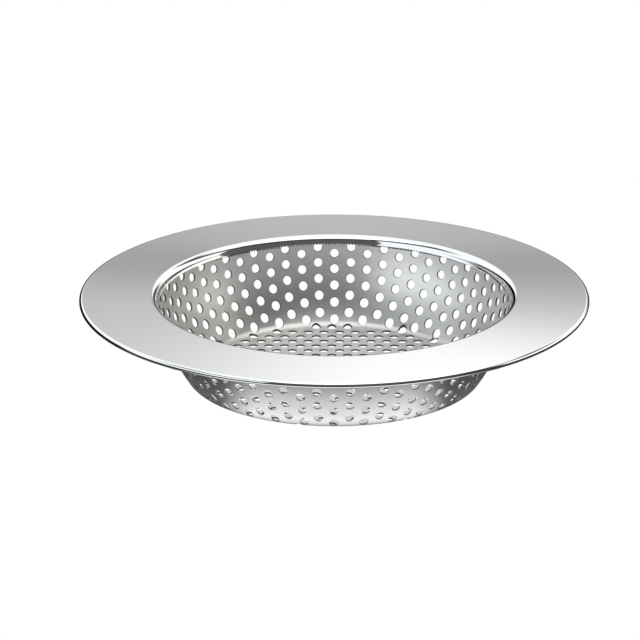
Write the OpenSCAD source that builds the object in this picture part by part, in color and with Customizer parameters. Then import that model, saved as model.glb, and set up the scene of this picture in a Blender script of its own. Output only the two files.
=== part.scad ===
// Sink strainer: a polished flat rim and a perforated basket drawn from one sheet.
// The basket hangs in the rim's mouth. Its lip is turned out under the flange,
// and the rim's collar is clinched down inside its neck.
// The origin is on the table, in the middle of the basket's underside.

/* [Overall] */
// Diameter across the rim
overall_d = 73; // [60:0.5:90]
// Height from the basket's underside to the highest line of the rim
overall_h = 12.7; // [11:0.1:16]

/* [Rim] */
// Thickness of the rim's sheet
rim_sheet = 0.3; // [0.2:0.05:0.35]
// Width of the rim, from the collar's face to the outer edge
rim_w = 11.2; // [9:0.1:13]
// Radius of the polished bend between the flange and the collar
lip_bend_r = 0.93; // [0.85:0.01:1.2]
// Depth of the collar's lower edge below the highest line of the rim
collar_depth = 1.3; // [1.2:0.02:2]
// Angle at which the flange falls away towards its outer edge
flange_slope = 1.2; // [0:0.1:3]
// Outside radius of the rolled outer edge
edge_roll_r = 0.42; // [0.4:0.01:0.7]
// Width of the sheet that is turned back under the outer edge
edge_return = 1.3; // [0.8:0.1:3]
// Depth to which the folded edge is pressed level underneath
seat_press = 0.04; // [0.02:0.01:0.08]

/* [Basket] */
// Thickness of the basket's sheet
basket_sheet = 0.25; // [0.2:0.05:0.5]
// Lean of the wall from upright at its top, in degrees
wall_lean = 9.15; // [8:0.05:13]
// Distance by which the wall's top stands inside the collar's face
wall_inset = 0.15; // [0:0.01:0.25]
// Inside radius of the bend between the wall and the bottom
bottom_bend_r = 1.6; // [1:0.1:3]
// Width of the lip that is turned out under the flange
basket_lip = 1.4; // [0.8:0.1:3]
// Height of the step that takes the wall out round the collar
neck_step_h = 0.2; // [0.15:0.05:0.6]

/* [Holes] */
// Diameter of each hole
hole_d = 1.25; // [0.9:0.05:1.4]
// Number of holes in each row round the wall
row_holes = 32; // [24:1:36]
// Depth of the first row below the highest line of the rim
first_row_depth = 1.6; // [1.5:0.05:2.4]
// Distance down the wall between the first two rows of one set
row_pitch = 2.22; // [1.9:0.02:2.8]
// Share of that pitch by which the second set of rows lies below the first
second_set_share = 0.41; // [0.36:0.01:0.5]
// Share by which the drawing of the sheet lengthens each further pitch
row_stretch_share = 0.0235; // [0:0.0005:0.04]
// Distance between neighbouring holes in the bottom
bottom_pitch = 2.3; // [1.8:0.01:3]
// Angle by which a hole that runs into the bend is laid flatter than its neighbours
bend_hole_tilt = 6; // [5:1:10]
// Least width of sheet between a bottom hole and a wall hole
least_web = 0.05; // [0.05:0.01:0.3]
// Distance that the bottom's holes reach into the bend
bottom_reach = 0.85; // [0:0.05:0.95]

/* [Hidden] */
$fn = 96;

// Free space between the two sheets where they lie against each other
seat_gap = 0.02;
// Overrun that carries each cut past the sheet
overrun = 1;
// How far the punched pattern of the bottom lies off the centre
pattern_x = -0.37;
pattern_y = 0.11;

// The rim's bend and its rolled edge, seen in section
lip_r = overall_d / 2 - rim_w;
bend_x = lip_r + lip_bend_r;
bend_z = overall_h - lip_bend_r;
collar_z = overall_h - collar_depth;
roll_drop = lip_bend_r - edge_roll_r;
roll_x = overall_d / 2 - edge_roll_r;
flange_len = (roll_x - bend_x - roll_drop * sin(flange_slope)) / cos(flange_slope);
roll_z = bend_z - flange_len * sin(flange_slope) + roll_drop * cos(flange_slope);
seat_z = roll_z - edge_roll_r + seat_press;

// The basket's neck lies outside the collar, and its wall starts just inside the collar's face
basket_depth = rim_sheet + seat_gap;
neck_r = lip_r + basket_depth;
neck_low_z = collar_z - seat_gap;
wall_top_z = neck_low_z - neck_step_h;
wall_top_r = lip_r - wall_inset;
step_w = neck_r - wall_top_r;
step_angle = atan2(neck_step_h, step_w);

// The wall is part of a sphere that is centred on the axis, above the rim
wall_r = wall_top_r / cos(wall_lean);
wall_centre_z = wall_top_z + wall_r * sin(wall_lean);

// The bend between the wall and the bottom rolls inside that sphere
floor_z = basket_sheet;
bend_centre_z = floor_z + bottom_bend_r;
centre_rise = wall_centre_z - bend_centre_z;
flat_r = sqrt(pow(wall_r - bottom_bend_r, 2) - pow(centre_rise, 2));
wall_end_lat = atan2(centre_rise, flat_r);

// Latitude of a row, counted in pitches down from the first row
first_lat = asin((wall_centre_z - overall_h + first_row_depth) / wall_r);
function row_lat(u) = first_lat + row_pitch * u * (1 + row_stretch_share * u) / wall_r * 180 / PI;

// The rows fill the wall down to the bend, and the last may run into it
hole_lat = hole_d / 2 / wall_r * 180 / PI;
last_lat = wall_end_lat + hole_lat;
row_limit = ceil((last_lat - first_lat) * PI / 180 * wall_r / row_pitch);
first_set = [for (k = [0:row_limit]) if (row_lat(k) <= last_lat) k];
second_set = [for (k = [0:row_limit]) if (row_lat(k + second_set_share) <= last_lat) k + second_set_share];

// The second set has a hole on the +Y line, and the first set straddles it
row_angle = 360 / row_holes;
first_turn = 90 + row_angle / 2;
second_turn = 90;
first_rows = [for (u = first_set) [row_lat(u), first_turn]];
second_rows = [for (u = second_set) [row_lat(u), second_turn]];
wall_rows = concat(first_rows, second_rows);

function wall_point(lat, turn) =
    [wall_r * cos(lat) * cos(turn), wall_r * cos(lat) * sin(turn), wall_centre_z - wall_r * sin(lat)];
lowest_rows = [first_rows[len(first_rows) - 1], second_rows[len(second_rows) - 1]];
lowest_holes = [for (row = lowest_rows, i = [0:row_holes - 1]) wall_point(row[0], row[1] + i * row_angle)];

// The bottom's holes lie in a close triangular pattern, clear of the wall's lowest holes
field_r = flat_r + min(bottom_reach, bottom_bend_r - hole_d / 2);
field_steps = ceil(field_r / bottom_pitch * 2 / sqrt(3)) + 1;
function floor_height(r) = floor_z + (r <= flat_r
    ? 0
    : bottom_bend_r - sqrt(pow(bottom_bend_r, 2) - pow(r - flat_r, 2)));
function is_clear(p) = min([for (hole = lowest_holes) norm(hole - p)]) >= hole_d + least_web;
function floor_point(i, j) =
    let (x = pattern_x + bottom_pitch * (i + abs(j % 2) / 2), y = pattern_y + bottom_pitch * j * sqrt(3) / 2)
    norm([x, y]) > field_r ? [] : [x, y, floor_height(norm([x, y]))];
floor_grid = [for (j = [-field_steps:field_steps], i = [-field_steps:field_steps]) floor_point(i, j)];
floor_holes = [for (p = floor_grid) if (len(p) > 0 && is_clear(p)) p];

// Everything under a skin that lies the given depth inside the flange, the bend and the collar.
// The origin is the bend's centre, and the collar hangs on the -X side.
module under_skin(depth, flange_l, collar_l) {
    r = lip_bend_r - depth;
    circle(r);
    rotate(-flange_slope) square([flange_l, r]);
    translate([-r, -collar_l]) square([r, collar_l]);
}

// A sheet that runs along the flange, round the bend and down the collar
module turned_sheet(depth, sheet, flange_l, collar_l) {
    difference() {
        under_skin(depth, flange_l, collar_l);
        under_skin(depth + sheet, flange_l + overrun, collar_l + overrun);
        rotate(-flange_slope) translate([0, -2 * lip_bend_r]) square([flange_l + overrun, 2 * lip_bend_r]);
    }
}

// The outer edge: the sheet rolls round and comes back under itself
module rolled_edge() {
    inner_r = edge_roll_r - rim_sheet;
    difference() {
        union() {
            circle(edge_roll_r);
            translate([-edge_return, -edge_roll_r]) square([edge_return, 2 * edge_roll_r]);
        }
        circle(inner_r);
        translate([-edge_return - overrun, -inner_r]) square([edge_return + overrun, 2 * inner_r]);
    }
}

module rim_section() {
    difference() {
        translate([bend_x, bend_z]) {
            turned_sheet(0, rim_sheet, flange_len, bend_z - collar_z);
            rotate(-flange_slope) translate([flange_len, roll_drop]) rolled_edge();
        }
        // The fold is pressed level underneath, which makes the rim's seat
        translate([roll_x - edge_return - overrun, seat_z - overrun])
            square([edge_return + edge_roll_r + 2 * overrun, overrun]);
    }
}

// The inside of the bowl, grown outwards, and filled up to the given height
module bowl_fill(grow, top_z) {
    reach = 2 * wall_r;
    steep = [reach * cos(wall_end_lat), wall_centre_z - reach * sin(wall_end_lat)];
    intersection() {
        translate([0, wall_centre_z]) circle(wall_r + grow);
        polygon([[0, top_z], [reach, top_z], steep, [flat_r, bend_centre_z]]);
    }
    translate([flat_r, bend_centre_z]) circle(bottom_bend_r + grow);
    translate([0, floor_z - grow]) square([flat_r, top_z - floor_z + grow]);
}

// The inside of the step between the wall and the neck, grown outwards square to each side. Its slanted
// side starts one step lower, within the bowl, and it may rise straight past the neck's lower end.
module step_fill(grow, rise) {
    corner = [neck_r + grow, neck_low_z - grow * (1 / cos(step_angle) - tan(step_angle))];
    low = corner - 2 * [step_w, neck_step_h];
    polygon([[0, low[1]], low, corner, [corner[0], neck_low_z + rise], [0, neck_low_z + rise]]);
}

module basket_section() {
    // The bottom, the bend, the wall and the step out to the neck
    step_mid_z = neck_low_z - neck_step_h / 2;
    difference() {
        union() {
            bowl_fill(basket_sheet, step_mid_z);
            step_fill(basket_sheet, 0);
        }
        bowl_fill(0, step_mid_z);
        step_fill(0, overrun);
    }
    // The neck and the lip that is turned out under the flange
    translate([bend_x, bend_z]) turned_sheet(basket_depth, basket_sheet, basket_lip, bend_z - neck_low_z);
}

// One hole through the wall, along the line from the sphere's centre, or flatter where it meets the bend
module wall_hole(lat, turn) {
    tilt = lat + hole_lat > wall_end_lat ? bend_hole_tilt : 0;
    translate([0, 0, wall_centre_z]) rotate([0, 90 + lat, turn])
        translate([0, 0, wall_r]) rotate([0, -tilt, 0])
            translate([0, 0, -overrun]) cylinder(d = hole_d, h = basket_sheet + 2 * overrun, $fn = 24);
}

module rim() {
    color("silver") rotate_extrude() rim_section();
}

module basket() {
    color("lightgray") difference() {
        rotate_extrude() basket_section();
        for (row = wall_rows, i = [0:row_holes - 1]) wall_hole(row[0], row[1] + i * row_angle);
        for (p = floor_holes)
            translate([p[0], p[1], -overrun]) cylinder(d = hole_d, h = p[2] + 2 * overrun, $fn = 24);
    }
}

rim();
basket();
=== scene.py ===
"""Sink strainer: a mirror-polished rim and a perforated satin basket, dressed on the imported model's frame.

Sizes of the pieces are in millimetres, as on a drawing. Meshes, and distances in the finishes, are in metres, in the
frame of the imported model: the origin is on the table under the middle of the basket, +Z is up and -Y is towards the
viewer.
"""

import logging
import math
from dataclasses import dataclass
from enum import Enum

import bpy
from mathutils import Matrix, Vector


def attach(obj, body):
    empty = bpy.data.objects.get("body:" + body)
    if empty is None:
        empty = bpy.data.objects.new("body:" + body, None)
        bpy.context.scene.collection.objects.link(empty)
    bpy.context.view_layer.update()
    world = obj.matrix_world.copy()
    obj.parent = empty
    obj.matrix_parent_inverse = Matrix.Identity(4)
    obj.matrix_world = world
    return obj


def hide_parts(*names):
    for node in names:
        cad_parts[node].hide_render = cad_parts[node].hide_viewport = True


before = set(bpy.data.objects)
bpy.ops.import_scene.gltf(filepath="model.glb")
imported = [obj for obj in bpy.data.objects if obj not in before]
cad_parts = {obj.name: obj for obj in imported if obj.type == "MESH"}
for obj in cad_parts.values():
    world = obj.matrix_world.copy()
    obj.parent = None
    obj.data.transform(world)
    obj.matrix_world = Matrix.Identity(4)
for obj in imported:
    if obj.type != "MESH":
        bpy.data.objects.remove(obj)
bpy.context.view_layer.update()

LOG = logging.getLogger("strainer")
MM = 0.001
MERGE_DISTANCE = 2e-6
SAME_HEIGHT = 1e-6
WHITE = (1.0, 1.0, 1.0, 1.0)

Colour = tuple[float, float, float]
Section = list[tuple[float, float]]
Stops = list[tuple[float, Colour]]


class Finish(Enum):
    """Names of material slots for the two finishes; nothing in this script uses them."""

    POLISHED = "polished_steel"
    SATIN = "satin_steel"


class Blend(Enum):
    """The ways of mixing two colours."""

    MIX = "MIX"
    MULTIPLY = "MULTIPLY"


# Shader sockets


class Socket:
    """One output of a node, with the operators that shader maths needs."""

    def __init__(self, tree: bpy.types.NodeTree, out: bpy.types.NodeSocket) -> None:
        """Wraps an output socket of a tree."""
        self.tree = tree
        self.out = out

    def _maths(self, operation: str, first: "Socket | float", second: "Socket | float | None" = None) -> "Socket":
        """Adds one Math node.

        Args:
            operation: The node's operation.
            first: The first value.
            second: The second value, where the operation takes one.

        Returns:
            The node's value.
        """
        values = {0: first} if second is None else {0: first, 1: second}
        return add_node(self.tree, "ShaderNodeMath", {"operation": operation}, values)

    def __add__(self, other: "Socket | float") -> "Socket":
        """self + other."""
        return self._maths("ADD", self, other)

    def __radd__(self, other: float) -> "Socket":
        """other + self."""
        return self._maths("ADD", other, self)

    def __sub__(self, other: "Socket | float") -> "Socket":
        """self - other."""
        return self._maths("SUBTRACT", self, other)

    def __mul__(self, other: "Socket | float") -> "Socket":
        """self * other."""
        return self._maths("MULTIPLY", self, other)

    def __rmul__(self, other: float) -> "Socket":
        """other * self."""
        return self._maths("MULTIPLY", other, self)

    def at_least(self, least: float) -> "Socket":
        """The larger of self and a number."""
        return self._maths("MAXIMUM", self, least)

    def arctan2(self, other: "Socket") -> "Socket":
        """The angle whose tangent is self over other."""
        return self._maths("ARCTAN2", self, other)

    def arcsin(self) -> "Socket":
        """The angle whose sine is self."""
        return self._maths("ARCSINE", self)


def add_node(tree: bpy.types.NodeTree, kind: str, settings: dict, values: dict, output: int | str = 0) -> Socket:
    """Adds any node, sets it up and feeds it.

    Args:
        tree: The node tree that takes the node.
        kind: The node's type.
        settings: Its properties, set before its sockets; "stops" holds a ramp's stops.
        values: Values or sockets for its inputs, by name or index.
        output: The output that is returned, by name or index.

    Returns:
        The wanted output.
    """
    node = tree.nodes.new(kind)
    for name, value in settings.items():
        if name == "stops":
            set_stops(node.color_ramp, value)
        else:
            setattr(node, name, value)
    for name, value in values.items():
        if isinstance(value, Socket):
            tree.links.new(value.out, node.inputs[name])
        else:
            node.inputs[name].default_value = value
    return Socket(tree, node.outputs[output])


def set_stops(ramp: bpy.types.ColorRamp, stops: Stops) -> None:
    """Sets a ramp's stops.

    Args:
        ramp: The ramp.
        stops: Place and colour of each stop, in order.
    """
    while len(ramp.elements) < len(stops):
        ramp.elements.new(1.0)
    for element, (place, colour) in zip(ramp.elements, stops):
        element.position = place
        element.color = (*colour, 1.0)


def add_ramp(tree: bpy.types.NodeTree, stops: Stops, place: Socket) -> Socket:
    """A ramp's colour at a place between 0 and 1."""
    return add_node(tree, "ShaderNodeValToRGB", {"stops": stops}, {"Fac": place}, "Color")


def mix_colours(
    tree: bpy.types.NodeTree,
    factor: Socket | float,
    first: Socket,
    second: Socket | tuple[float, float, float, float],
    blend: Blend = Blend.MIX,
) -> Socket:
    """Mixes two colours.

    Args:
        tree: The node tree.
        factor: Share of the second colour.
        first: The first colour.
        second: The second colour.
        blend: The way of mixing.

    Returns:
        The mixed colour.
    """
    settings = {"data_type": "RGBA", "blend_type": blend.value}
    return add_node(tree, "ShaderNodeMix", settings, {0: factor, 6: first, 7: second}, 2)


def split_vector(vector: Socket) -> tuple[Socket, Socket, Socket]:
    """Splits a vector.

    Args:
        vector: The vector.

    Returns:
        Its three parts.
    """
    split = vector.tree.nodes.new("ShaderNodeSeparateXYZ")
    vector.tree.links.new(vector.out, split.inputs[0])
    return tuple(Socket(vector.tree, part) for part in split.outputs)


def turn_share(x: Socket, y: Socket) -> Socket:
    """The turn about the axis from 0 to 1, half being the viewer's side."""
    return x.arctan2(y * -1.0) * (0.5 / math.pi) + 0.5


def turn_stops(turns: list[tuple[float, float]]) -> Stops:
    """Stops for turn_share, from turns in degrees off the viewer's side, left being negative."""
    return [(0.5 + degrees / 360, grey(value)) for degrees, value in turns]


def end_tree(tree: bpy.types.NodeTree, kind: str, shader: Socket) -> None:
    """Ends a tree with an output node of the given type."""
    output = tree.nodes.new(kind)
    tree.links.new(shader.out, output.inputs["Surface"])


def grey(value: float) -> Colour:
    """A neutral colour."""
    return value, value, value


def cool(value: float) -> Colour:
    """A faintly bluish light."""
    return value * 0.95, value * 1.0, value * 1.03


def warm(value: float) -> Colour:
    """A faintly warm light."""
    return value * 1.03, value * 1.0, value * 0.95


# Finishes


def new_metal(name: str, colour: Colour) -> tuple[bpy.types.Material, bpy.types.NodeTree, bpy.types.Node]:
    """Starts a bare metal.

    Args:
        name: The material's name.
        colour: The metal's colour.

    Returns:
        The material, its node tree and its shader.
    """
    material = bpy.data.materials.new(name)
    material.use_nodes = True
    tree = material.node_tree
    shader = tree.nodes["Principled BSDF"]
    shader.inputs["Base Color"].default_value = (*colour, 1.0)
    shader.inputs["Metallic"].default_value = 1.0
    return material, tree, shader


@dataclass(frozen=True)
class MirrorSteel:
    """Mirror-polished stainless steel."""

    name: str = "polished steel"
    colour: Colour = (0.80, 0.81, 0.82)
    roughness: float = 0.035
    haze: float = 0.02
    haze_scale: float = 90.0

    def make(self) -> bpy.types.Material:
        """Builds the material.

        Returns:
            A metal whose gloss is broken only by a very faint haze from the polishing wheel.
        """
        material, tree, shader = new_metal(self.name, self.colour)
        place = add_node(tree, "ShaderNodeTexCoord", {}, {}, "Object")
        values = {"Vector": place, "Scale": self.haze_scale, "Detail": 2.0}
        haze = add_node(tree, "ShaderNodeTexNoise", {}, values, "Fac")
        tree.links.new((self.roughness + self.haze * haze).out, shader.inputs["Roughness"])
        return material


@dataclass(frozen=True)
class SatinSteel:
    """Stainless steel sheet as rolled, drawn into a bowl.

    Attributes:
        drawn: Height in metres and the share of the colour there; painted shade low on the wall, painted light
            towards its top.
        top: The height in metres at which the last share is reached.
    """

    name: str = "satin steel"
    colour: Colour = (0.70, 0.695, 0.685)
    roughness: float = 0.40
    mottle: float = 0.03
    fine_scale: float = 2200.0
    broad_scale: float = 160.0
    top: float = 0.0127
    # Painted shade low on the wall and painted light towards its top, as shares of the colour by height.
    drawn: tuple[tuple[float, float], ...] = (
        (0.0, 0.92), (0.0025, 0.80), (0.004, 0.88), (0.006, 1.21), (0.0075, 1.33), (0.0127, 1.34),
    )

    def make(self) -> bpy.types.Material:
        """Builds the material.

        Returns:
            A metal with a soft gloss that is faintly mottled, as a drawn sheet is, with painted light and shade by
            height.
        """
        material, tree, shader = new_metal(self.name, self.colour)
        place = add_node(tree, "ShaderNodeTexCoord", {}, {}, "Object")
        fine_values = {"Vector": place, "Scale": self.fine_scale, "Detail": 2.0}
        broad_values = {"Vector": place, "Scale": self.broad_scale, "Detail": 1.0}
        fine = add_node(tree, "ShaderNodeTexNoise", {}, fine_values, "Fac")
        broad = add_node(tree, "ShaderNodeTexNoise", {}, broad_values, "Fac")
        gloss = self.roughness - self.mottle * 0.5 + self.mottle * (fine * 0.5 + broad * 0.5)
        tree.links.new(gloss.out, shader.inputs["Roughness"])
        # Painted light and shade by height: the base colour is darker low on the wall and lighter towards its top.
        height = split_vector(place)[2]
        stops = [(level / self.top, tuple(part * share for part in self.colour)) for level, share in self.drawn]
        painted_light_by_height = add_ramp(tree, stops, height * (1 / self.top))
        tree.links.new(painted_light_by_height.out, shader.inputs["Base Color"])
        return material


@dataclass(frozen=True)
class HoleEdge:
    """The bare metal of a punched edge."""

    name: str
    colour: Colour
    roughness: float

    def make(self) -> bpy.types.Material:
        """Builds the material.

        Returns:
            A plain metal.
        """
        material, _, shader = new_metal(self.name, self.colour)
        shader.inputs["Roughness"].default_value = self.roughness
        return material


@dataclass(frozen=True)
class PaintedShadeCutEdge(HoleEdge):
    """The rough edge inside each hole, coloured dark as painted shade in the hole."""

    name: str = "punched edge"
    # Painted shade: the dark colour stands in for the shade inside the holes.
    colour: Colour = grey(0.16)
    roughness: float = 0.5


@dataclass(frozen=True)
class BurnishedEdge(HoleEdge):
    """The smooth, bright edge that the punch leaves round each hole on the outside."""

    name: str = "burnished edge"
    colour: Colour = grey(0.86)
    roughness: float = 0.3


@dataclass(frozen=True)
class PaleFloor:
    """The pale ground. It is white to the eye; in what the steel mirrors, its glow carries a painted shadow under the
    strainer and painted light round it.

    Attributes:
        glow: The light that the eye sees.
        reach: Distance from the axis in metres that the fading covers.
        fade: Distance from the axis in metres and the mirrored light there: painted shadow under the basket's bottom
            and under the flange, painted light between them and in a ring beyond the rim, dim further out.
        beam: Turn off the viewer's side in degrees and the share of the mirrored light there: painted light in front
            of the strainer, dim to the sides and back.
    """

    name: str = "pale floor"
    glow: float = 1.0
    reach: float = 0.2
    fade: tuple[tuple[float, float], ...] = (
        (0.0, 0.04), (0.0205, 0.04), (0.0216, 1.7), (0.024, 1.3), (0.027, 0.5), (0.031, 0.15), (0.036, 0.15),
        (0.040, 1.2), (0.046, 1.2), (0.050, 0.05), (0.2, 0.05),
    )
    beam: tuple[tuple[float, float], ...] = (
        (-180, 0.12), (-50, 0.12), (-33, 1.0), (33, 1.0), (50, 0.12), (180, 0.12),
    )

    def make(self) -> bpy.types.Material:
        """Builds the material.

        Returns:
            A white ground that is seen from above only.
        """
        material = bpy.data.materials.new(self.name)
        material.use_nodes = True
        tree = material.node_tree
        tree.nodes.clear()
        place = add_node(tree, "ShaderNodeTexCoord", {}, {}, "Object")
        away = add_node(tree, "ShaderNodeVectorMath", {"operation": "LENGTH"}, {0: place}, "Value")
        # Painted shadow and light in the mirrored floor by distance from the axis, and a painted pool of light on the
        # viewer's side.
        stops = [(distance / self.reach, grey(light)) for distance, light in self.fade]
        painted_shadow_by_reach = add_ramp(tree, stops, away * (1 / self.reach))
        x, y, _ = split_vector(place)
        painted_light_by_side = add_ramp(tree, turn_stops(self.beam), turn_share(x, y))
        mirrored = mix_colours(tree, 1.0, painted_shadow_by_reach, painted_light_by_side, Blend.MULTIPLY)
        seen = add_node(tree, "ShaderNodeLightPath", {}, {}, "Is Camera Ray")
        in_steel = add_node(tree, "ShaderNodeEmission", {}, {"Color": mirrored, "Strength": 1.0})
        to_eye = add_node(tree, "ShaderNodeEmission", {}, {"Color": WHITE, "Strength": self.glow})
        ground = add_node(tree, "ShaderNodeMixShader", {}, {0: seen, 1: in_steel, 2: to_eye})
        clear = add_node(tree, "ShaderNodeBsdfTransparent", {}, {})
        below = add_node(tree, "ShaderNodeNewGeometry", {}, {}, "Backfacing")
        both = add_node(tree, "ShaderNodeMixShader", {}, {0: below, 1: ground, 2: clear})
        end_tree(tree, "ShaderNodeOutputMaterial", both)
        return material


# Drawing by hand


def deselect_all() -> None:
    """Leaves edit mode and deselects every object."""
    if bpy.context.object is not None and bpy.context.object.mode != "OBJECT":
        bpy.ops.object.mode_set(mode="OBJECT")
    bpy.ops.object.select_all(action="DESELECT")


def make_active(piece: bpy.types.Object) -> None:
    """Selects one object alone and makes it active.

    Args:
        piece: The object.
    """
    deselect_all()
    piece.select_set(True)
    bpy.context.view_layer.objects.active = piece


def arc(centre: tuple[float, float], radius: float, start: float, end: float, steps: int) -> Section:
    """Points along an arc.

    Args:
        centre: The arc's centre.
        radius: Its radius.
        start: Angle of the first point, in degrees.
        end: Angle of the last point, in degrees.
        steps: Number of chords.

    Returns:
        The points, both ends among them.
    """
    angles = [math.radians(start + (end - start) * i / steps) for i in range(steps + 1)]
    return [(centre[0] + radius * math.cos(a), centre[1] + radius * math.sin(a)) for a in angles]


def draw_section(name: str, points: Section, closed: bool) -> bpy.types.Object:
    """Draws a section in the XZ plane, point after point, by extruding one vertex.

    Args:
        name: The object's name.
        points: The section's points in millimetres.
        closed: Whether the last point joins the first.

    Returns:
        The drawn object.
    """
    deselect_all()
    bpy.ops.mesh.primitive_plane_add(size=MM, location=(0, 0, 0))
    piece = bpy.context.object
    piece.name = name
    bpy.ops.object.mode_set(mode="EDIT")
    bpy.ops.mesh.select_all(action="SELECT")
    bpy.ops.mesh.merge(type="CENTER")
    bpy.ops.transform.translate(value=(points[0][0] * MM, 0, points[0][1] * MM))
    for (x0, z0), (x1, z1) in zip(points, points[1:]):
        step = {"value": ((x1 - x0) * MM, 0, (z1 - z0) * MM)}
        bpy.ops.mesh.extrude_region_move(TRANSFORM_OT_translate=step)
    if closed:
        bpy.ops.object.mode_set(mode="OBJECT")
        for vertex in piece.data.vertices:
            vertex.select = vertex.index in (0, len(points) - 1)
        bpy.ops.object.mode_set(mode="EDIT")
        bpy.ops.mesh.edge_face_add()
    bpy.ops.object.mode_set(mode="OBJECT")
    return piece


def spin_section(piece: bpy.types.Object, steps: int) -> None:
    """Spins a drawn section once round the axis and closes the seam and the poles.

    Args:
        piece: The object that holds the section.
        steps: Number of steps round the axis.
    """
    make_active(piece)
    bpy.ops.object.mode_set(mode="EDIT")
    bpy.ops.mesh.select_all(action="SELECT")
    bpy.ops.mesh.spin(steps=steps, angle=math.tau, center=(0, 0, 0), axis=(0, 0, 1))
    bpy.ops.mesh.select_all(action="SELECT")
    bpy.ops.mesh.remove_doubles(threshold=MERGE_DISTANCE)
    bpy.ops.mesh.select_all(action="SELECT")
    bpy.ops.mesh.normals_make_consistent(inside=False)
    bpy.ops.object.mode_set(mode="OBJECT")


def shade(piece: bpy.types.Object, degrees: float) -> None:
    """Shades a piece smooth up to an angle between its faces."""
    make_active(piece)
    bpy.ops.object.shade_smooth_by_angle(angle=math.radians(degrees))


# The rim


@dataclass
class Rim:
    """The polished rim: a broad flange with a rolled edge, and a short serrated collar in the mouth.

    Attributes:
        width: Width of the rim, from the collar's face to the outer edge.
        collar_depth: Depth of the collar's lower edge below the highest line of the rim.
        collar_lean: Angle by which the collar leans in towards its lower edge, in degrees.
        slope: Angle at which the flange falls away towards its outer edge, in degrees.
        edge_return: Width of the sheet that is turned back under the outer edge.
        seat_press: Depth to which the folded edge is pressed level underneath.
        tooth_in: Distance by which the teeth stand in from the collar.
        gap_share: Share of a tooth's height and stand that the gaps between the teeth are cut back.
        hold: Distance of the extra loops that keep the shading of a flat stretch flat.
    """

    overall_d: float = 73.0
    overall_h: float = 12.7
    width: float = 11.2
    sheet: float = 0.3
    bend_r: float = 0.93
    collar_depth: float = 1.3
    collar_lean: float = 12.0
    slope: float = 1.2
    roll_r: float = 0.42
    edge_return: float = 1.3
    seat_press: float = 0.04
    teeth: int = 360
    tooth_h: float = 0.2
    tooth_in: float = 0.16
    gap_share: float = 0.9
    hold: float = 0.03
    bend_steps: int = 18
    roll_steps: int = 14
    inner_steps: int = 6
    smooth_angle: float = 40.0

    def __post_init__(self) -> None:
        """Works out the places that follow from the sizes."""
        self.lip_r = self.overall_d / 2 - self.width
        self.bend = (self.lip_r + self.bend_r, self.overall_h - self.bend_r)
        self.low = self.overall_h - self.collar_depth
        drop = self.bend_r - self.roll_r
        lean = math.radians(self.slope)
        roll_x = self.overall_d / 2 - self.roll_r
        self.flange_run = (roll_x - self.bend[0] - drop * math.sin(lean)) / math.cos(lean)
        roll_z = self.bend[1] - self.flange_run * math.sin(lean) + drop * math.cos(lean)
        self.roll = (roll_x, roll_z)
        self.seat = roll_z - self.roll_r + self.seat_press

    def _along(self, distance: float, height: float) -> tuple[float, float]:
        """A point in the flange's slope.

        Args:
            distance: Its distance inwards from the roll.
            height: Its height above the roll's centre.

        Returns:
            The point.
        """
        lean = math.radians(-self.slope)
        x = self.roll[0] - distance * math.cos(lean) - height * math.sin(lean)
        return x, self.roll[1] - distance * math.sin(lean) + height * math.cos(lean)

    def section(self) -> Section:
        """Works out the rim's section.

        Returns:
            Its closed outline, from the collar's lower edge up over the bend and out to the rolled edge and back.
        """
        top, inner, run = 90 - self.slope, self.roll_r - self.sheet, self.flange_run
        turn = 180 - self.collar_lean
        bend = arc(self.bend, self.bend_r, turn, top, self.bend_steps)
        root_z = self.low + self.tooth_h
        lean = math.tan(math.radians(self.collar_lean))
        root_r = bend[0][0] - (bend[0][1] - root_z) * lean
        collar = [(root_r - self.tooth_in, self.low), (root_r, root_z)]
        collar.append((bend[0][0] - self.hold * lean, bend[0][1] - self.hold))
        flange = [self._along(run - self.hold, self.roll_r), self._along(self.hold, self.roll_r)]
        edge = arc(self.roll, self.roll_r, top, top - 180, self.roll_steps)
        edge += [self._along(self.hold, -self.roll_r), self._along(self.edge_return, -self.roll_r)]
        level = [(x, max(z, self.seat)) for x, z in edge]
        back = [self._along(self.edge_return, -inner)]
        back += arc(self.roll, inner, top - 180, top, self.inner_steps)
        under = arc(self.bend, self.bend_r - self.sheet, top, turn, self.bend_steps // 2)
        heel = [(root_r + self.sheet, root_z + self.hold), (root_r + self.hold, root_z - self.hold)]
        return collar + bend + flange + level + back + under + heel

    def cut_teeth(self, piece: bpy.types.Object) -> None:
        """Draws every other step of the collar's lower edge back, which leaves a row of fine teeth.

        Args:
            piece: The spun rim.
        """
        make_active(piece)
        bpy.ops.object.mode_set(mode="EDIT")
        bpy.ops.mesh.select_mode(type="VERT")
        bpy.ops.mesh.select_all(action="DESELECT")
        bpy.ops.object.mode_set(mode="OBJECT")
        pitch = math.tau / (2 * self.teeth)
        for vertex in piece.data.vertices:
            turn = round(math.atan2(vertex.co.y, vertex.co.x) / pitch)
            is_low = abs(vertex.co.z - self.low * MM) < SAME_HEIGHT
            vertex.select = is_low and turn % 2 == 1
        tip = math.hypot(*next(vertex.co.xy for vertex in piece.data.vertices if vertex.select))
        widen = 1 + self.gap_share * self.tooth_in * MM / tip
        bpy.ops.object.mode_set(mode="EDIT")
        bpy.ops.transform.resize(value=(widen, widen, 1), center_override=(0, 0, 0))
        bpy.ops.transform.translate(value=(0, 0, self.gap_share * self.tooth_h * MM))
        bpy.ops.object.mode_set(mode="OBJECT")

    def build(self) -> bpy.types.Object:
        """Builds and dresses the rim.

        Returns:
            The finished rim.
        """
        piece = draw_section("rim_sheet", self.section(), closed=True)
        spin_section(piece, 2 * self.teeth)
        self.cut_teeth(piece)
        piece.data.materials.append(MirrorSteel().make())
        shade(piece, self.smooth_angle)
        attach(piece, "root")
        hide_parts("rim")
        return piece


# The basket


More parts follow.
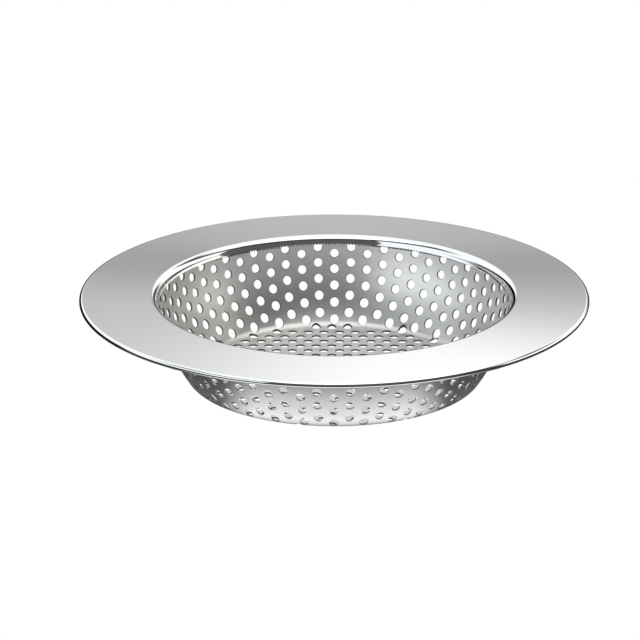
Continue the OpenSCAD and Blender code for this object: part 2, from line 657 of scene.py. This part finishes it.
@dataclass
class Basket:
    """The basket: a bowl drawn from one perforated sheet, with a neck and a lip that lies under the flange.

    Attributes:
        gap: Free space between the basket's sheet and the rim's.
        lean: Lean of the wall from upright at its top, in degrees.
        inset: Distance by which the wall's top stands inside the collar's face.
        lip: Width of the lip that is turned out under the flange.
        step_h: Height of the step that takes the wall out round the collar.
        wall_rise: Height by which the wall's inner face is carried up behind the collar's edge.
        first_depth: Depth of the first row below the highest line of the rim.
        row_pitch: Distance down the wall between the first two rows of one set.
        second_share: Share of a pitch by which the second set of rows lies below the first.
        stretch_share: Share by which the drawing of the sheet lengthens each further pitch.
        widen_share: Share of a hole's stretch down the wall that it also takes across.
        floor_pitch: Distance between neighbouring holes in the bottom.
        least_web: Least width of sheet between a bottom hole and a wall hole.
        floor_reach: Distance that the bottom's holes reach into the bend.
        pattern: How far the punched pattern of the bottom lies off the centre.
        bend_tilt: Angle by which a hole that runs into the bend is laid flatter, in degrees.
        break_w: Width of the broken edge at both ends of a hole.
        punch_reach: Distance by which the punch stands out of the sheet.
    """

    rim: Rim
    sheet: float = 0.25
    gap: float = 0.02
    lean: float = 9.15
    inset: float = 0.15
    bottom_bend: float = 1.6
    lip: float = 1.4
    step_h: float = 0.2
    wall_rise: float = 0.17
    hole_d: float = 1.25
    row_holes: int = 32
    most_rows: int = 12
    first_depth: float = 1.6
    row_pitch: float = 2.22
    second_share: float = 0.41
    stretch_share: float = 0.0235
    widen_share: float = 0.3
    floor_pitch: float = 2.3
    least_web: float = 0.05
    floor_reach: float = 0.85
    pattern: tuple[float, float] = (-0.37, 0.11)
    bend_tilt: float = 6.0
    break_w: float = 0.06
    punch_reach: float = 0.9
    round_steps: int = 256
    flat_steps: int = 8
    bend_steps: int = 12
    wall_steps: int = 16
    neck_steps: int = 8
    hole_sides: int = 20
    smooth_angle: float = 30.0

    def __post_init__(self) -> None:
        """Works out the places that follow from the sizes."""
        rim = self.rim
        self.depth = rim.sheet + self.gap
        self.neck_r = rim.lip_r + self.depth
        self.neck_low = rim.low - self.gap
        self.wall_top = (rim.lip_r - self.inset, self.neck_low - self.step_h)
        self.wall_r = self.wall_top[0] / math.cos(math.radians(self.lean))
        self.wall_z = self.wall_top[1] + self.wall_r * math.sin(math.radians(self.lean))
        slant = math.atan2(self.step_h, self.neck_r - self.wall_top[0])
        self.step_drop = self.sheet * (1 / math.cos(slant) - math.tan(slant))
        self.bend_z = self.sheet + self.bottom_bend
        rise = self.wall_z - self.bend_z
        self.flat_r = math.sqrt((self.wall_r - self.bottom_bend) ** 2 - rise**2)
        self.end_lat = math.degrees(math.atan2(rise, self.flat_r))
        self.hole_lat = math.degrees(self.hole_d / 2 / self.wall_r)

    def section(self) -> Section:
        """The basket's outline from the axis along the inside, over the lip, and back along the outside."""
        return self._side(0.0) + self._side(self.sheet)[::-1]

    def _side(self, out: float) -> Section:
        """One side of the sheet, from the axis to the lip's end.

        Args:
            out: Distance of this side from the inner one.

        Returns:
            The side's points.
        """
        rim = self.rim
        is_inner = out == 0
        flat = [(self.flat_r * i / self.flat_steps, self.sheet - out) for i in range(self.flat_steps + 1)]
        bend = arc((self.flat_r, self.bend_z), self.bottom_bend + out, -90, -self.end_lat, self.bend_steps)
        reach = self.wall_r + out
        top_z = self.wall_top[1] + (self.wall_rise if is_inner else 0.0)
        top_lat = math.degrees(math.asin((self.wall_z - top_z) / reach))
        wall = arc((0, self.wall_z), reach, -self.end_lat, -top_lat, self.wall_steps)
        neck = [(self.neck_r + out, self.neck_low - (0.0 if is_inner else self.step_drop))]
        neck += arc(rim.bend, rim.bend_r - self.depth - out, 180, 90 - rim.slope, self.neck_steps)
        lean = math.radians(rim.slope)
        last = neck[-1]
        neck.append((last[0] + self.lip * math.cos(lean), last[1] - self.lip * math.sin(lean)))
        return flat + bend[1:] + wall[1:] + neck

    def _row_lat(self, count: float) -> float:
        """Latitude of a row that lies so many pitches below the first one."""
        first = math.degrees(math.asin((self.wall_z - self.rim.overall_h + self.first_depth) / self.wall_r))
        return first + math.degrees(self.row_pitch * count * (1 + self.stretch_share * count) / self.wall_r)

    def wall_rows(self) -> list[tuple[float, float, float]]:
        """The rows round the wall.

        Returns:
            Latitude, first turn and stretch of each row, the first set of rows and then the second.
        """
        step = 360 / self.row_holes
        last = self.end_lat + self.hole_lat
        rows = []
        for share, turn in ((0.0, 90 + step / 2), (self.second_share, 90.0)):
            counts = [count + share for count in range(self.most_rows)]
            held = [count for count in counts if self._row_lat(count) <= last]
            rows += [(self._row_lat(count), turn, 2 * self.stretch_share * count) for count in held]
        return rows

    def wall_point(self, lat: float, turn: float) -> Vector:
        """A point of the wall's inner face.

        Args:
            lat: Its latitude below the sphere's middle, in degrees.
            turn: Its turn about the axis, in degrees.

        Returns:
            The point.
        """
        across = self.wall_r * math.cos(math.radians(lat))
        height = self.wall_z - self.wall_r * math.sin(math.radians(lat))
        return Vector((across * math.cos(math.radians(turn)), across * math.sin(math.radians(turn)), height))

    def floor_points(self) -> list[Vector]:
        """The places of the bottom's holes, clear of the wall's lowest holes.

        Returns:
            The points on the inner face.
        """
        rows = self.wall_rows()
        half = len(rows) // 2
        turns = [i * 360 / self.row_holes for i in range(self.row_holes)]
        lowest = [self.wall_point(row[0], row[1] + t) for row in (rows[half - 1], rows[-1]) for t in turns]
        field_r = self.flat_r + min(self.floor_reach, self.bottom_bend - self.hole_d / 2)
        steps = math.ceil(field_r / self.floor_pitch * 2 / math.sqrt(3)) + 1
        points = []
        for j in range(-steps, steps + 1):
            for i in range(-steps, steps + 1):
                x = self.pattern[0] + self.floor_pitch * (i + (j % 2) / 2)
                y = self.pattern[1] + self.floor_pitch * j * math.sqrt(3) / 2
                reach = math.hypot(x, y)
                if reach > field_r:
                    continue
                rise = max(reach - self.flat_r, 0.0)
                point = Vector((x, y, self.bend_z - math.sqrt(self.bottom_bend**2 - rise**2)))
                if min((low - point).length for low in lowest) >= self.hole_d + self.least_web:
                    points.append(point)
        return points

    def make_punch(self) -> bpy.types.Object:
        """Models the punch that cuts each hole: a round rod that widens a little at both faces of the sheet.

        Returns:
            The punch, standing on the inner face with its axis along Z.
        """
        r, b, t, far = self.hole_d / 2, self.break_w, self.sheet, self.punch_reach
        points = [(0, -far), (r + b, -far), (r + b, 0), (r, b), (r, t - b), (r + b, t), (r + b, t + far)]
        punch = draw_section("punch", points + [(0, t + far)], closed=False)
        spin_section(punch, self.hole_sides)
        punch.data.materials.append(PaintedShadeCutEdge().make())
        punch.data.materials.append(BurnishedEdge().make())
        # Faces inside the hole take the edge in painted shade; faces of the outer break take the burnished edge.
        for face in punch.data.polygons:
            face.material_index = int(face.center.z > (t - b) * MM)
        return punch

    def punch_places(self) -> list[tuple[Vector, Vector, float]]:
        """Where the punch goes through the sheet.

        Returns:
            The point on the inner face, the outward direction and the stretch of each hole.
        """
        places = []
        for lat, first, stretch in self.wall_rows():
            dip = lat - (self.bend_tilt if lat + self.hole_lat > self.end_lat else 0.0)
            across, down = math.cos(math.radians(dip)), -math.sin(math.radians(dip))
            for i in range(self.row_holes):
                turn = first + i * 360 / self.row_holes
                out = Vector((across * math.cos(math.radians(turn)), across * math.sin(math.radians(turn)), down))
                places.append((self.wall_point(lat, turn), out, stretch))
        for point in self.floor_points():
            places.append((point, Vector((0, 0, -1)), 0.0))
        return places

    def copy_punch(self, punch: bpy.types.Object, point: Vector, out: Vector, stretch: float) -> bpy.types.Object:
        """Sets a copy of the punch at one hole.

        Args:
            punch: The punch.
            point: The hole's place on the inner face.
            out: The direction out through the sheet.
            stretch: Share by which the hole is longer down the wall.

        Returns:
            The copy, with a mesh of its own.
        """
        copy = punch.copy()
        copy.data = punch.data.copy()
        bpy.context.scene.collection.objects.link(copy)
        across = Vector((-out.y, out.x, 0)).normalized() if out.xy.length > 0 else Vector((1, 0, 0))
        down = out.cross(across) * (1 + stretch)
        turn = Matrix((across * (1 + self.widen_share * stretch), down, out)).transposed().to_4x4()
        turn.translation = point * MM
        copy.data.transform(turn)
        return copy

    def punch_holes(self, piece: bpy.types.Object) -> None:
        """Cuts all the holes with copies of the punch.

        Args:
            piece: The whole bowl.
        """
        punch = self.make_punch()
        copies = [self.copy_punch(punch, point, out, stretch) for point, out, stretch in self.punch_places()]
        deselect_all()
        for copy in copies:
            copy.select_set(True)
        bpy.context.view_layer.objects.active = copies[0]
        bpy.ops.object.join()
        tool = bpy.context.object
        make_active(piece)
        cut = piece.modifiers.new("holes", "BOOLEAN")
        cut.operation = "DIFFERENCE"
        cut.solver = "MANIFOLD"
        cut.object = tool
        cut.material_mode = "TRANSFER"
        bpy.ops.object.modifier_apply(modifier=cut.name)
        bpy.data.objects.remove(tool)
        bpy.data.objects.remove(punch)

    def build(self) -> bpy.types.Object:
        """Builds and dresses the basket.

        Returns:
            The finished basket.
        """
        piece = draw_section("basket_sheet", self.section(), closed=False)
        spin_section(piece, self.round_steps)
        piece.data.materials.append(SatinSteel().make())
        self.punch_holes(piece)
        shade(piece, self.smooth_angle)
        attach(piece, "root")
        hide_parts("basket")
        return piece


# The studio

# Height in degrees and the light there, for each side of the studio
BACK = [
    (-20, grey(0.02)), (12, grey(0.02)), (15, grey(0.66)), (16.1, grey(0.60)), (16.6, grey(0.56)),
    (17.2, grey(0.48)), (17.7, grey(0.41)), (18.2, grey(0.43)), (18.9, grey(0.53)), (19.6, grey(0.62)),
    (20.5, grey(0.73)), (21.3, grey(0.87)), (22, grey(1.01)), (22.6, grey(1.12)), (23.2, grey(1.25)),
    (90, grey(1.4)),
]
BACK_LEFT = [(-20, grey(0.0)), (14.6, grey(0.0)), (16.6, grey(1.2)), (90, grey(1.2))]
LEFT = [
    (-20, cool(1.2)), (34, cool(1.2)), (38, cool(0.06)), (53, cool(0.06)), (56, cool(1.2)), (60, cool(1.8)),
    (90, cool(1.8)),
]
FRONT = [
    (-20, grey(0.12)), (28, grey(0.11)), (36, grey(0.04)), (47, grey(0.025)), (50, grey(1.2)), (60, grey(1.7)),
    (90, grey(1.7)),
]
RIGHT = [
    (-20, warm(1.3)), (30, warm(1.3)), (34, warm(0.1)), (44, warm(0.1)), (48, warm(1.2)), (60, warm(1.8)),
    (90, warm(1.8)),
]
BACK_RIGHT = [
    (-20, grey(0.1)), (-8, grey(0.17)), (6, grey(0.17)), (13, grey(0.06)), (14.6, grey(0.06)),
    (16.6, grey(1.2)), (90, grey(1.2)),
]


@dataclass(frozen=True)
class Sky:
    """The studio round the strainer, as light by height for six sides. To the eye it is white.

    Attributes:
        back_lean: Rise of the back's light towards the right.
        near_lean: Growth of that rise with height, which the near side of the flange mirrors.
        near_from: Sine of the height from which it grows.
        edges: The turns in degrees off the viewer's side, left being negative, between which each side passes
            into the next, from the back round by the left.
    """

    back_lean: float = -0.03
    near_lean: float = 9.4
    near_from: float = 0.334
    edges: tuple[tuple[float, float], ...] = (
        (-175.4, -174.4), (-108, -96), (-31.5, -29), (78, 81), (144, 156), (174.4, 175.4),
    )

    def make(self) -> None:
        """Builds the world."""
        world = bpy.data.worlds.new("studio")
        bpy.context.scene.world = world
        world.use_nodes = True
        tree = world.node_tree
        tree.nodes.clear()
        x, y, z = split_vector(add_node(tree, "ShaderNodeTexCoord", {}, {}, "Generated"))
        turn = turn_share(x, y)
        lean = self.back_lean + self.near_lean * (z - self.near_from).at_least(0.0)
        back = self._by_height(BACK, z + lean * x)
        sides = [self._by_height(stops, z) for stops in (BACK_LEFT, LEFT, FRONT, RIGHT, BACK_RIGHT)]
        colour = back
        for side, (start, end) in zip(sides + [back], self.edges):
            share = add_ramp(tree, turn_stops([(start, 0), (end, 1)]), turn)
            colour = mix_colours(tree, share, colour, side)
        seen = add_node(tree, "ShaderNodeLightPath", {}, {}, "Is Camera Ray")
        colour = mix_colours(tree, seen, colour, WHITE)
        shader = add_node(tree, "ShaderNodeBackground", {}, {"Color": colour, "Strength": 1.0})
        end_tree(tree, "ShaderNodeOutputWorld", shader)

    def _by_height(self, light: Stops, sine: Socket) -> Socket:
        """The light of one side.

        Args:
            light: Height in degrees and the light there.
            sine: Sine of the height that is looked at.

        Returns:
            The light at that height.
        """
        stops = [(0.5 + degrees / 180, colour) for degrees, colour in light]
        return add_ramp(sine.tree, stops, sine.arcsin() * (1 / math.pi) + 0.5)


@dataclass(frozen=True)
class Camera:
    """The camera that took the photograph, fitted to the strainer's outlines.

    Attributes:
        place: Its place in millimetres.
        height: Angle in degrees by which it looks down.
        turn: Angle in degrees by which it is turned to the left.
    """

    place: tuple[float, float, float] = (0.86, -636.42, 236.88)
    height: float = 19.732
    turn: float = 0.261
    lens: float = 265.1
    sensor: float = 36.0
    clip: tuple[float, float] = (0.05, 20.0)

    def make(self) -> None:
        """Builds the camera and makes it the scene's own."""
        data = bpy.data.cameras.new("camera")
        data.lens, data.sensor_width = self.lens, self.sensor
        data.clip_start, data.clip_end = self.clip
        camera = bpy.data.objects.new("camera", data)
        bpy.context.scene.collection.objects.link(camera)
        camera.location = Vector(self.place) * MM
        camera.rotation_euler = (math.radians(90 - self.height), 0, math.radians(self.turn))
        bpy.context.scene.camera = camera


@dataclass(frozen=True)
class Floor:
    """The ground, as wide as the given size in metres."""

    size: float = 6.0

    def make(self) -> bpy.types.Object:
        """Builds the ground.

        Returns:
            The ground, which isn't part of the strainer.
        """
        deselect_all()
        bpy.ops.mesh.primitive_plane_add(size=self.size, location=(0, 0, 0))
        ground = bpy.context.object
        ground.name = "floor"
        ground.data.materials.append(PaleFloor().make())
        return ground


def main() -> None:
    """Builds the strainer and the studio, piece by piece."""
    logging.basicConfig(level=logging.INFO, format="%(name)s: %(message)s")
    rim = Rim()
    piece = rim.build()
    LOG.info("rim: %d faces", len(piece.data.polygons))
    basket = Basket(rim).build()
    LOG.info("basket: %d faces, %d vertices", len(basket.data.polygons), len(basket.data.vertices))
    Floor().make()
    Sky().make()
    Camera().make()
    bpy.context.scene.view_settings.view_transform = "Standard"


if __name__ == "__main__":
    main()
